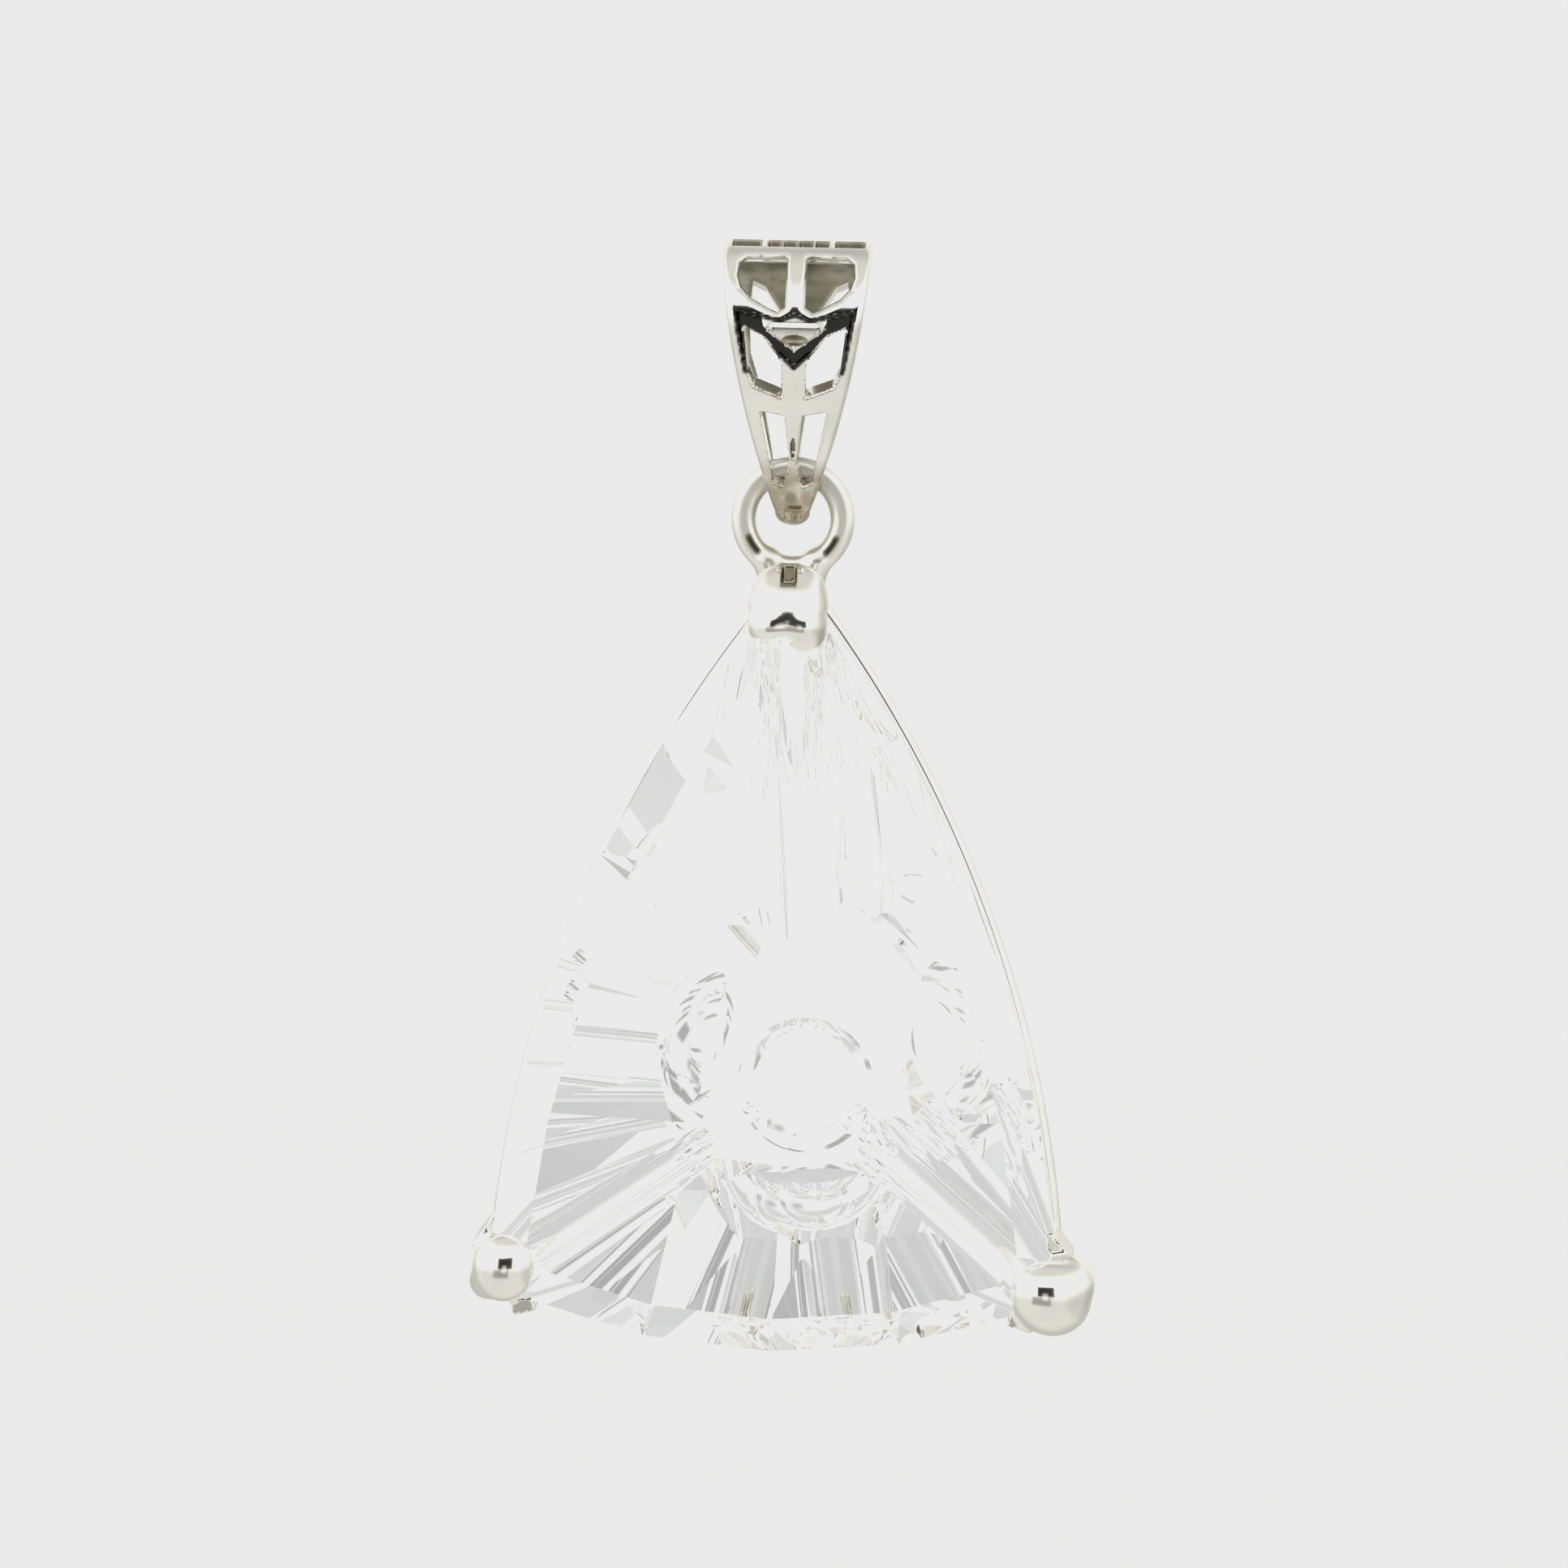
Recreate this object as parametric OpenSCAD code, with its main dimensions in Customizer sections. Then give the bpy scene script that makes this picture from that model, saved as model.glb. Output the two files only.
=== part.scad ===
// A pendant: a pierced silver bail, a soldered claw setting that hangs from it
// by a ring, and the curved triangular quartz that the claws hold.
// X runs across the pendant, its front faces -Y, and Z points up.
// The origin is at the inside top of the bail, where a chain bears.

/* [Bail] */
// Width of the bail across its top
bail_w = 4.7; // [4.5:0.05:4.9]
// Radius inside the top of the loop, which the chain fills
loop_r = 1.75; // [1.6:0.05:1.9]
// Thickness of the loop's wall
bail_wall = 0.7; // [0.6:0.05:0.8]
// Depth of the bail's tip below the chain's seat
bail_drop = 8.07; // [8:0.01:8.15]
// Radius of the bail's tip, seen from the front
tip_r = 0.54; // [0.5:0.01:0.58]
// Radius of the bail's lower end, seen from the side
heel_r = 1.15; // [1.1:0.01:1.2]
// How far each long edge bulges out of a straight line
edge_bulge = 0.36; // [0.32:0.01:0.4]
// Width of the raised rim along the long edges
rim_w = 0.3; // [0.25:0.01:0.35]
// Depth of the sunk panel between the rims
panel_sink = 0.18; // [0.1:0.02:0.24]

/* [Ring] */
// Radius of the ring, measured to the middle of its wire
ring_r = 1.52; // [1.48:0.01:1.56]
// Diameter of the ring's wire
ring_wire = 0.76; // [0.7:0.02:0.8]
// Play between the ring's wire and the bail's seat
ring_play = 0.1; // [0.08:0.01:0.12]

/* [Stone outline] */
// Distance from the left corner to the right one, before the corners are cut
stone_w = 17.6; // [17.4:0.1:17.8]
// Distance from the top corner to the line through the lower ones
stone_h = 22.1; // [21.9:0.1:22.3]
// How far each long side bulges out
side_bulge = 1.9; // [1.8:0.05:2]
// How far the bottom side bulges out
base_bulge = 1.9; // [1.8:0.05:2]
// Flats ground along each long side
side_flats = 5; // [4:1:6]
// Flats ground along the bottom side
base_flats = 4; // [3:1:5]
// Length cut from each side at the top corner
top_cut = 2; // [1.9:0.05:2.1]
// Length cut from each side at a lower corner
low_cut = 1.2; // [1.1:0.05:1.3]

/* [Stone depth] */
// Depth of the crown, from table to girdle
crown_h = 0.8; // [0.7:0.05:0.9]
// Width of the crown's band, seen from the front
crown_in = 1.17; // [1.1:0.01:1.25]
// Thickness of the girdle
girdle_t = 0.55; // [0.45:0.05:0.65]
// Depth of the pavilion, from girdle to back face
pavilion_h = 7.8; // [7.6:0.05:8]
// Distance that the pavilion runs in under the stone from the right side
right_in = 4; // [3.9:0.05:4.1]
// The same from the bottom side
base_in = 4.8; // [4.7:0.05:4.9]
// The same from the left side
left_in = 5.6; // [5.5:0.05:5.7]
// Radius of the dimple's mouth in the back face
dimple_r = 2.17; // [2.05:0.01:2.25]
// Depth of the dimple
dimple_h = 1.2; // [1:0.05:1.4]

/* [Setting] */
// Radius of each prong of the double top claw
prong_r = 0.62; // [0.58:0.01:0.66]
// Distance between the middles of the top claw's two prongs
prong_gap = 1.06; // [1:0.01:1.12]
// Radius of the left claw's ball head
left_ball_r = 0.98; // [0.9:0.01:1]
// Radius of the right claw's ball head, which was left fuller
right_ball_r = 1.14; // [1.05:0.01:1.16]
// Diameter of the gallery wire
wire_d = 0.46; // [0.42:0.01:0.5]
// Gap kept between metal and stone
seat_gap = 0.06; // [0.05:0.01:0.1]

/* [Hidden] */
$fn = 72;
silver = [0.86, 0.86, 0.85];
quartz = [0.93, 0.95, 0.94, 0.45];

// The loop, seen from the side: a big circle over a small one
loop_z = -loop_r;
loop_out = loop_r + bail_wall;
heel_z = -bail_drop + heel_r;
// The ring's top wire is the pivot that the drop swings on
pivot_z = -6.25;
seat_r = ring_wire / 2 + ring_play;
ring_z = pivot_z - ring_r;
ring_in = ring_r - ring_wire / 2;
// The saddle that the ring rides in ends just inside the ring's own hole
saddle_w = 0.92 * ring_in;
saddle_steps = 6;
tip_z = -bail_drop + tip_r;
// Flats that stand for the loop's top and heel, the long edges and the tip
loop_steps = 24;
heel_steps = 12;
edge_steps = 8;
tip_steps = 10;

// Windows of the bail's right half, as [distance from the middle, height]: three pairs in
// the front, and in the back a large pair over one that matches the front's lowest
eye_window = [
    [0.36, 0.06], [1.64, 0.02], [1.78, -0.16], [1.74, -0.94], [1.5, -1.2], [0.54, -1.44], [0.36, -1.3]
];
cheek_window = [[1.5, -2.2], [0.98, -2.42], [0.42, -3.05], [0.4, -4.02], [1.16, -3.72], [1.36, -3.3]];
chin_window = [[0.98, -4.55], [0.3, -4.66], [0.13, -6.1], [0.34, -6.72], [0.56, -6.6]];
nape_window = [
    [1.46, -0.68], [1.1, -0.85], [0.6, -1.62], [0.2, -2.6],
    [0.16, -4.1], [1.16, -3.9], [1.5, -2.9], [1.58, -1.6]
];
front_windows = [eye_window, cheek_window, chin_window];
back_windows = [nape_window, chin_window];
// The right half of the sunk panel, from the brow's arch down to its point
panel = [[0, -1.6], [0.44, -1.76], [2.1, -1.42], [0.34, -7]];
panel_mirrored = [for (i = [len(panel) - 1:-1:1]) [-panel[i][0], panel[i][1]]];
// The arcade pierced through the loop's top, right half, as [distance from the middle, width]
arcade = [[0.24, 0.36], [0.72, 0.36], [1.56, 0.84]];
arcade_y = -0.6;
arcade_len = 0.8;

// Stone: heights of its uncut corners and depths of its planes
top_z = -9.3;
low_z = top_z - stone_h;
table_y = -3.1;
girdle_y = table_y + crown_h;
pavilion_y = girdle_y + girdle_t;
back_y = pavilion_y + pavilion_h;
crown_slope = atan2(crown_h, crown_in);
// Grooves along the pavilion's corners, as [corner, radius, where the floor starts
// along the way to the dimple, its depth there behind the girdle, where it meets the back]
grooves = [
    [0, 1.6, 3.3, 1.35, 12],
    [1, 1, 2.3, 1.45, 7.6],
    [2, 1, 2.3, 1.45, 7.6]
];
dimple = [0.7, -25.85];
dimple_ball = (dimple_r * dimple_r + dimple_h * dimple_h) / (2 * dimple_h);

// Setting: the gallery wire lies in a plane behind the girdle
rail_y = pavilion_y + 1.85;
shank_r = 0.58;
shoulder_r = 0.42;
shoulder_angle = 29;
// Where a prong's head starts and ends, measured down the crown from the girdle
outer_head = [-1.08, 0.6];
middle_head = [-0.75, 0.25];
// A corner claw's ball stands this far outside the flat it grips and in front of the girdle
ball_out = 0.22;
ball_front = 0.5;
// A corner claw's walls: thickness, length at the wire, reach past the corner
wall_t = 0.45;
wall_foot = 0.3;
wall_back = 0.35;
// Each wall's length at the girdle: only the right claw's upper one reaches far
long_wall = 0.9;
short_wall = 0.35;
// Each wall leans in by this angle, so that its far end runs out against the girdle
wall_toe = 30;
// The walls end inside the gallery wire
wall_end_y = rail_y + wire_d / 4;
rod_steps = 8;

// A circular arc through a and b that bulges to the left of the way from a to b
function arc_radius(a, b, bulge) = (norm(b - a) * norm(b - a) / 4 + bulge * bulge) / (2 * bulge);
function arc_half(a, b, bulge) = asin(norm(b - a) / 2 / arc_radius(a, b, bulge));
function arc_left(a, b) = [-(b - a)[1], (b - a)[0]] / norm(b - a);
function arc_centre(a, b, bulge) = (a + b) / 2 + arc_left(a, b) * (bulge - arc_radius(a, b, bulge));
function arc_point(a, b, bulge, t) =
    let (r = arc_radius(a, b, bulge), w = (2 * t - 1) * arc_half(a, b, bulge))
    arc_centre(a, b, bulge) + r * cos(w) * arc_left(a, b) + r * sin(w) * (b - a) / norm(b - a);
function arc_length(a, b, bulge) = arc_radius(a, b, bulge) * arc_half(a, b, bulge) * PI / 90;

// Corners as [x, z], and sides as [from, to, bulge, flats, cut at its start, cut at its
// end, how far the pavilion runs in]
corners = [[0, top_z], [stone_w / 2, low_z], [-stone_w / 2, low_z]];
sides = [
    [corners[0], corners[1], side_bulge, side_flats, top_cut, low_cut, right_in],
    [corners[1], corners[2], base_bulge, base_flats, low_cut, low_cut, base_in],
    [corners[2], corners[0], side_bulge, side_flats, low_cut, top_cut, left_in]
];
function side_points(s) =
    let (len = arc_length(s[0], s[1], s[2]), t0 = s[4] / len, t1 = 1 - s[5] / len)
    [for (i = [0:s[3]]) arc_point(s[0], s[1], s[2], t0 + (t1 - t0) * i / s[3])];
outline = [for (s = sides) each side_points(s)];
// How far the pavilion runs in from the flat that starts at each outline point: a corner's
// flat takes the middle of its two sides' values
pavilion_in = [
    for (i = [0:2])
    for (j = [0:sides[i][3]])
    j < sides[i][3] ? sides[i][6] : (sides[i][6] + sides[(i + 1) % 3][6]) / 2
];
corner_count = len(outline);
top_flat_z = outline[0][1];
shank_z = top_flat_z + seat_gap + shank_r;

function polar(centre, r, angle) = centre + r * [cos(angle), sin(angle)];

// Turns a shape drawn in X and Z, with its thickness along Z, to face the front
module facing(depth) {
    rotate([90, 0, 0]) linear_extrude(depth, center = true) children();
}

// The loop's side view: a big arc over a small one, joined by their tangents
module loop_side(top_radius, top_at, low_radius, low_at) {
    tilt = asin((top_radius - low_radius) / (top_at - low_at));
    sweep = (180 + 2 * tilt) / loop_steps;
    heel_sweep = (180 - 2 * tilt) / heel_steps;
    polygon(concat(
        [for (i = [0:loop_steps]) polar([0, top_at], top_radius, i * sweep - tilt)],
        [for (i = [0:heel_steps]) polar([0, low_at], low_radius, 180 + tilt + i * heel_sweep)]
    ));
}

module loop_solid(trim) {
    rotate([90, 0, 90])
        linear_extrude(2 * bail_w, center = true)
        loop_side(loop_out - trim, loop_z, heel_r - trim, heel_z);
}

// The bail's front view: two long arcs that meet in a round tip
module bail_outline(inset) {
    shoulder = [bail_w / 2 - inset, loop_out + loop_z + bail_wall];
    foot = [tip_r - inset, tip_z];
    right = [for (i = [0:edge_steps]) arc_point(shoulder, foot, edge_bulge, i / edge_steps)];
    polygon(concat(
        right,
        [for (i = [1:tip_steps - 1]) polar([0, tip_z], tip_r - inset, -i * 180 / tip_steps)],
        [for (i = [edge_steps:-1:0]) [-right[i][0], right[i][1]]]
    ));
}

// Holes for a list of windows, cut from the loop's inside through one wall
module bail_windows(windows, toward) {
    translate([0, toward * 2 * loop_out, 0])
        facing(4 * loop_out)
        for (window = windows, side = [-1, 1])
            polygon([for (p = window) [side * p[0], p[1]]]);
}

// The ring's swept hollow: at each x the ring's inner edge, turned about the pivot
module ring_saddle() {
    translate([0, 0, pivot_z])
        rotate([0, 90, 0])
        rotate_extrude()
        polygon(concat(
            [[0, -saddle_w]],
            [
                for (i = [-saddle_steps:saddle_steps])
                let (x = saddle_w * i / saddle_steps)
                [ring_r - sqrt(ring_in * ring_in - x * x) + ring_play, x]
            ],
            [[0, saddle_w]]
        ));
}

module bail() {
    color(silver)
        difference() {
            intersection() {
                loop_solid(0);
                facing(4 * loop_out) bail_outline(0);
            }
            // The hollow, from the chain's seat down to the ring's
            rotate([90, 0, 90])
                linear_extrude(2 * bail_w, center = true)
                loop_side(loop_r, loop_z, seat_r, pivot_z);
            ring_saddle();
            bail_windows(front_windows, -1);
            bail_windows(back_windows, 1);
            // The sunk panels, front and back
            difference() {
                facing(4 * loop_out)
                    intersection() {
                        bail_outline(rim_w);
                        polygon(concat(panel, panel_mirrored));
                    }
                loop_solid(panel_sink);
            }
            // The arcade in the top
            for (slot = arcade, side = [-1, 1])
                translate([side * slot[0], arcade_y, 0])
                    linear_extrude(4 * bail_wall, center = true)
                    square([slot[1], arcade_len], center = true);
        }
}

// The outline with every flat moved out by grow
function grown(grow) = [
    for (i = [0:corner_count - 1])
    let (
        before = arc_left(outline[(i + corner_count - 1) % corner_count], outline[i]),
        after = arc_left(outline[i], outline[(i + 1) % corner_count])
    )
    outline[i] + grow * (before + after) / (1 + before * after)
];

// A block that takes away what lies outside the plane on one flat, for a band of the given width
module plane_cut(a, b, start_y, slope, toward, band, grow) {
    spare = 0.3;
    translate([a[0], start_y, a[1]])
        rotate([0, -atan2((b - a)[1], (b - a)[0]), 0])
        rotate([-toward * (90 - slope), 0, 0])
        translate([-spare, toward > 0 ? -spare : -band / cos(slope) - spare, grow])
        cube([norm(b - a) + 2 * spare, band / cos(slope) + 2 * spare, band]);
}

// The stone between the first and last of a run of flats, without grooves or dimple,
// each plane moved out by grow
module stone_blank(first, last, grow) {
    difference() {
        translate([0, (table_y + back_y) / 2, 0])
            facing(back_y - table_y + 2 * grow)
            polygon([for (i = [first:last + 1]) grown(grow)[i % corner_count]]);
        for (i = [first:last]) {
            a = outline[i];
            b = outline[(i + 1) % corner_count];
            reach = pavilion_in[i];
            plane_cut(a, b, girdle_y, crown_slope, -1, crown_in, grow);
            plane_cut(a, b, pavilion_y, atan2(pavilion_h, reach), 1, reach, grow);
        }
    }
}

// A groove's floor runs straight from near its corner to the stone's back
module groove(g) {
    corner = corners[g[0]];
    way = (dimple - corner) / norm(dimple - corner);
    rise = atan2(pavilion_h - g[3], g[4] - g[2]);
    translate([corner[0] + way[0] * g[2], pavilion_y + g[3], corner[1] + way[1] * g[2]])
        rotate([0, -atan2(way[1], way[0]), 0])
        rotate([0, 0, rise])
        translate([0, g[1], 0])
        rotate([0, 90, 0])
        cylinder(r = g[1], h = 4 * g[4], center = true);
}

// A rod with round ends, turned as one piece
module rod(from, to, r) {
    way = to - from;
    len = norm(way);
    translate(from)
        rotate([0, acos(way[2] / len), atan2(way[1], way[0])])
        rotate_extrude()
        polygon(concat(
            [for (i = [0:rod_steps]) polar([0, 0], r, -90 + 90 * i / rod_steps)],
            [for (i = [0:rod_steps]) polar([0, len], r, 90 * i / rod_steps)]
        ));
}

module ring() {
    translate([0, 0, ring_z])
        rotate([90, 0, 0])
        rotate_extrude()
        translate([ring_r, 0])
        circle(ring_wire / 2);
}

// A length of gallery wire that follows one side of the stone, from t0 to t1
module gallery_wire(s, t0, t1) {
    c = arc_centre(s[0], s[1], s[2]);
    p0 = arc_point(s[0], s[1], s[2], t0) - c;
    p1 = arc_point(s[0], s[1], s[2], t1) - c;
    start = atan2(p1[1], p1[0]);
    sweep = atan2(p0[1], p0[0]) - start;
    translate([c[0], rail_y, c[1]])
        rotate([90, 0, 0])
        rotate([0, 0, start])
        rotate_extrude(angle = (sweep + 360) % 360, $fn = 240)
        translate([norm(p0), 0])
        circle(wire_d / 2, $fn = 24);
}

// One prong of the top claw, whose head lies along the crown's slope
module prong(x, head) {
    lift = prong_r + seat_gap;
    edge = [x, girdle_y, top_flat_z];
    out = [0, -cos(crown_slope), sin(crown_slope)] * lift;
    in = [0, -sin(crown_slope), -cos(crown_slope)];
    bend = edge + out + in * head[0];
    rod(bend, edge + out + in * head[1], prong_r);
    rod([x, rail_y, shank_z], [x, bend[1], shank_z], shank_r);
}

// The solder that runs from the ring's lower flank to a prong's shank
module shoulder(side) {
    rod(
        [side * ring_r * sin(shoulder_angle), 0, ring_z - ring_r * cos(shoulder_angle)],
        [side * prong_gap / 2, 0, shank_z],
        shoulder_r
    );
}

module top_claw() {
    for (side = [-1, 1]) {
        prong(side * prong_gap / 2, outer_head);
        shoulder(side);
    }
    prong(0, middle_head);
}

// One wall of a corner claw, against the flat between two outline points
module claw_wall(from, to, outward, wall_len) {
    translate([from[0], 0, from[1]])
        rotate([0, outward * wall_toe - atan2((to - from)[1], (to - from)[0]), 0])
        translate([0, 0, outward > 0 ? 0 : -wall_t])
        linear_extrude(wall_t)
        polygon([
            [-wall_back, girdle_y - 0.3], [wall_len, girdle_y - 0.3],
            [wall_foot, wall_end_y], [-wall_back, wall_end_y]
        ]);
}

// A corner claw grips the flat that starts at outline point i, and is cut to seat the stone
module corner_claw(i, ball_r, before_len, after_len) {
    out = arc_left(outline[i], outline[i + 1]);
    middle = (outline[i] + outline[i + 1]) / 2;
    ball = middle + out * ball_out;
    shank = middle + out * (seat_gap + shank_r);
    difference() {
        union() {
            translate([ball[0], girdle_y - ball_front, ball[1]]) sphere(ball_r);
            rod([shank[0], girdle_y, shank[1]], [shank[0], rail_y, shank[1]], shank_r);
            claw_wall(outline[i], outline[i - 1], -1, before_len);
            claw_wall(outline[i + 1], outline[i + 2], 1, after_len);
        }
        stone_blank(i - 1, i + 1, seat_gap);
    }
}

module claw_setting() {
    color(silver) {
        ring();
        top_claw();
        corner_claw(side_flats, right_ball_r, long_wall, short_wall);
        corner_claw(side_flats + base_flats + 1, left_ball_r, short_wall, short_wall);
        gallery_wire(sides[0], 0.04, 0.98);
        gallery_wire(sides[1], 0.02, 0.98);
        gallery_wire(sides[2], 0.02, 0.96);
    }
}

module quartz_stone() {
    color(quartz)
        difference() {
            stone_blank(0, corner_count - 1, 0);
            for (g = grooves) groove(g);
            translate([dimple[0], back_y - dimple_h + dimple_ball, dimple[1]])
                sphere(dimple_ball, $fn = 96);
        }
}

bail();
claw_setting();
quartz_stone();
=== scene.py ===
import math

import bmesh
import bpy
import numpy as np
from mathutils import Matrix, Vector


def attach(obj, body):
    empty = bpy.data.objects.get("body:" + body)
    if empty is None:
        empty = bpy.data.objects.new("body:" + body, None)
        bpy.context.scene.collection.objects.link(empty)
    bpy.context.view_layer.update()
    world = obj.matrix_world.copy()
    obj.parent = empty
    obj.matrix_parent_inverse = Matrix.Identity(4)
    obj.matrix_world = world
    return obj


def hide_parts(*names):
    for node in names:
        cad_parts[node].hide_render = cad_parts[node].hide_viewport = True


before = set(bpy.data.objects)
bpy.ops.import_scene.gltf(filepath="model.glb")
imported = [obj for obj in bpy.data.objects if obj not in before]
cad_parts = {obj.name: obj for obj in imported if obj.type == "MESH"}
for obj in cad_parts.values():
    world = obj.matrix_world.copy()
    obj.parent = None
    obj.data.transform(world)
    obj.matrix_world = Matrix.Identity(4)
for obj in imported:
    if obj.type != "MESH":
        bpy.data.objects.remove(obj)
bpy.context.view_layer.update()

# Sizes are written in millimetres, and the frame is in metres
MM = 0.001

# The camera stands a hand's length in front of the drop, a little to its right and above
# it, and is rolled slightly.


def new_object(name, data):
    """Puts a mesh or a camera into the scene."""
    made = bpy.data.objects.new(name, data)
    bpy.context.collection.objects.link(made)
    return made


camera_distance = 130
camera_turn = math.radians(2.5)
camera_rise = math.radians(5.5)
camera_roll = math.radians(1.35)
camera_target = Vector((-0.09, 0, -15.98)) * MM
camera_away = Vector((
    math.sin(camera_turn) * math.cos(camera_rise),
    -math.cos(camera_turn) * math.cos(camera_rise),
    math.sin(camera_rise)
))
level_right = Vector((math.cos(camera_turn), math.sin(camera_turn), 0))
level_up = camera_away.cross(level_right)
camera_right = level_right * math.cos(camera_roll) + level_up * math.sin(camera_roll)
camera_up = level_up * math.cos(camera_roll) - level_right * math.sin(camera_roll)
lens = bpy.data.cameras.new("camera")
lens.sensor_width = 36
lens.lens = 96.5
lens.clip_start = 0.01
camera = new_object("camera", lens)
camera_axes = Matrix((camera_right, camera_up, camera_away)).transposed()
camera_place = camera_target + camera_away * camera_distance * MM
camera.matrix_world = Matrix.Translation(camera_place) @ camera_axes.to_4x4()
bpy.context.scene.camera = camera

# The studio is a sheet of matt white paper that curves up behind the pendant, in an even
# white light all round, with a small dark place in it behind the camera.
floor_z, floor_near = -60, -700
bend_y, bend_r, bend_steps = 150, 200, 12
sweep_top, sweep_half = 600, 700
paper = bpy.data.materials.new("white paper")
paper.use_nodes = True
paper_nodes = paper.node_tree.nodes
paper_shader = paper_nodes["Principled BSDF"]
paper_shader.inputs["Base Color"].default_value = (0.8, 0.8, 0.8, 1)
paper_shader.inputs["Roughness"].default_value = 1
paper_shader.inputs["Specular IOR Level"].default_value = 0
sweep_profile = [(floor_near, floor_z), (bend_y, floor_z)]
for step in range(1, bend_steps + 1):
    turn = math.radians(90 * step / bend_steps)
    sweep_profile.append((bend_y + bend_r * math.sin(turn), floor_z + bend_r - bend_r * math.cos(turn)))
sweep_profile.append((bend_y + bend_r, sweep_top))
sweep = bmesh.new()
rows = [
    [sweep.verts.new(Vector((x, y, z)) * MM) for x in (-sweep_half, sweep_half)]
    for y, z in sweep_profile
]
for near, far in zip(rows, rows[1:]):
    sweep.faces.new((near[0], near[1], far[1], far[0])).smooth = True
sweep_mesh = bpy.data.meshes.new("paper sweep")
sweep.to_mesh(sweep_mesh)
sweep.free()
sweep_mesh.materials.append(paper)
paper_sweep = new_object("paper_sweep", sweep_mesh)
paper_sweep.visible_glossy = False
paper_sweep.visible_transmission = False

world = bpy.data.worlds.new("soft white studio")
bpy.context.scene.world = world
world.use_nodes = True
world_tree = world.node_tree
world_tree.nodes.clear()


def put(tree, kind, _settings=None, **links):
    """Adds a node. Each input is named, or is i and its number, and gets a value or a socket."""
    node = tree.nodes.new(kind)
    for key, value in (_settings or {}).items():
        setattr(node, key, value)
    for key, value in links.items():
        by_number = key[0] == "i" and key[1:].isdigit()
        socket = node.inputs[int(key[1:]) if by_number else key.replace("_", " ")]
        if isinstance(value, bpy.types.NodeSocket):
            tree.links.new(value, socket)
        else:
            socket.default_value = value
    return node


def calc(tree, operation, *values):
    """One step of arithmetic on numbers or sockets."""
    node = tree.nodes.new("ShaderNodeMath")
    node.operation = operation
    for socket, value in zip(node.inputs, values):
        if isinstance(value, bpy.types.NodeSocket):
            tree.links.new(value, socket)
        else:
            socket.default_value = value
    return node.outputs[0]


def ramp(tree, value, start, end, low=0.0, high=1.0):
    """Goes smoothly from low to high while value goes from start to end."""
    node = put(tree, "ShaderNodeMapRange", {"interpolation_type": "SMOOTHSTEP"}, i0=value)
    for index, number in zip((1, 2, 3, 4), (start, end, low, high)):
        node.inputs[index].default_value = number
    return node.outputs[0]


def along(tree, direction, axis):
    """How far a direction or place goes along an axis."""
    node = tree.nodes.new("ShaderNodeVectorMath")
    node.operation = "DOT_PRODUCT"
    tree.links.new(direction, node.inputs[0])
    node.inputs[1].default_value = axis
    return node.outputs["Value"]


sky = put(world_tree, "ShaderNodeTexCoord").outputs["Generated"]
sideways = along(world_tree, sky, level_right)
upward = along(world_tree, sky, (0, 0, 1))
frontward = along(world_tree, sky, (math.sin(camera_turn), -math.cos(camera_turn), 0))


def patch(tree, left, right, low, high, soft):
    """1 inside a window of directions in front of the pendant, 0 outside it."""
    window = ramp(tree, frontward, 0.1, 0.3)
    for direction, start, end in ((sideways, left, right), (upward, low, high)):
        window = calc(tree, "MULTIPLY", window, ramp(tree, direction, start - soft, start + soft))
        window = calc(tree, "MULTIPLY", window, ramp(tree, direction, end + soft, end - soft))
    return window


# On the metal: a dark place with a light gap low in its middle, a grey strip below it,
# and less light from the floor, the ceiling, the far side and the right
dark = patch(world_tree, -0.3, 0.34, -0.06, 0.34, 0.03)
slot = patch(world_tree, -0.1, 0.1, -0.2, 0.07, 0.04)
shade = patch(world_tree, -0.5, 0.2, -0.42, -0.08, 0.08)
gleam = ramp(world_tree, upward, -0.3, 0.1, 0.79, 1.25)
for factor in (
    ramp(world_tree, frontward, 0.1, -0.6, 1.0, 0.72),
    ramp(world_tree, sideways, 0.6, 0.9, 1.0, 0.82),
    ramp(world_tree, upward, 0.62, 0.88, 1.0, 0.58),
    ramp(world_tree, shade, 0.0, 1.0, 1.0, 0.47),
    ramp(world_tree, dark, 0.0, 1.0, 1.0, 0.025)
):
    gleam = calc(world_tree, "MULTIPLY", gleam, factor)
gleam = calc(world_tree, "ADD", gleam, calc(world_tree, "MULTIPLY", slot, 0.5))
# In the stone: a softer room with a dim ceiling, three bright places and three dim ones
glow = ramp(world_tree, upward, 0.5, 0.8, 0.95, 0.63)
for left, right, low, high, soft, strength in (
    (-0.12, 0.2, 0.32, 0.6, 0.12, 0.8),
    (-0.45, -0.15, 0.06, 0.3, 0.1, 0.8),
    (-0.8, -0.2, -0.5, -0.3, 0.1, 0.8),
    (-0.75, -0.45, 0.3, 0.6, 0.15, -0.46),
    (-0.7, -0.2, -0.25, 0.02, 0.1, -0.5),
    (0.2, 0.7, -0.2, 0.28, 0.1, -0.55)
):
    place = patch(world_tree, left, right, low, high, soft)
    glow = calc(world_tree, "ADD", glow, calc(world_tree, "MULTIPLY", place, strength))
path = put(world_tree, "ShaderNodeLightPath")
seen = calc(world_tree, "MAXIMUM", path.outputs["Is Camera Ray"], path.outputs["Is Diffuse Ray"])
through = path.outputs["Is Transmission Ray"]
on_metal = put(world_tree, "ShaderNodeBackground", Color=(1, 0.975, 0.9, 1), Strength=gleam)
in_stone = put(world_tree, "ShaderNodeBackground", Color=(0.99, 1, 0.98, 1), Strength=glow)
light = put(world_tree, "ShaderNodeMixShader", i0=through, i1=on_metal.outputs[0], i2=in_stone.outputs[0])
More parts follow.
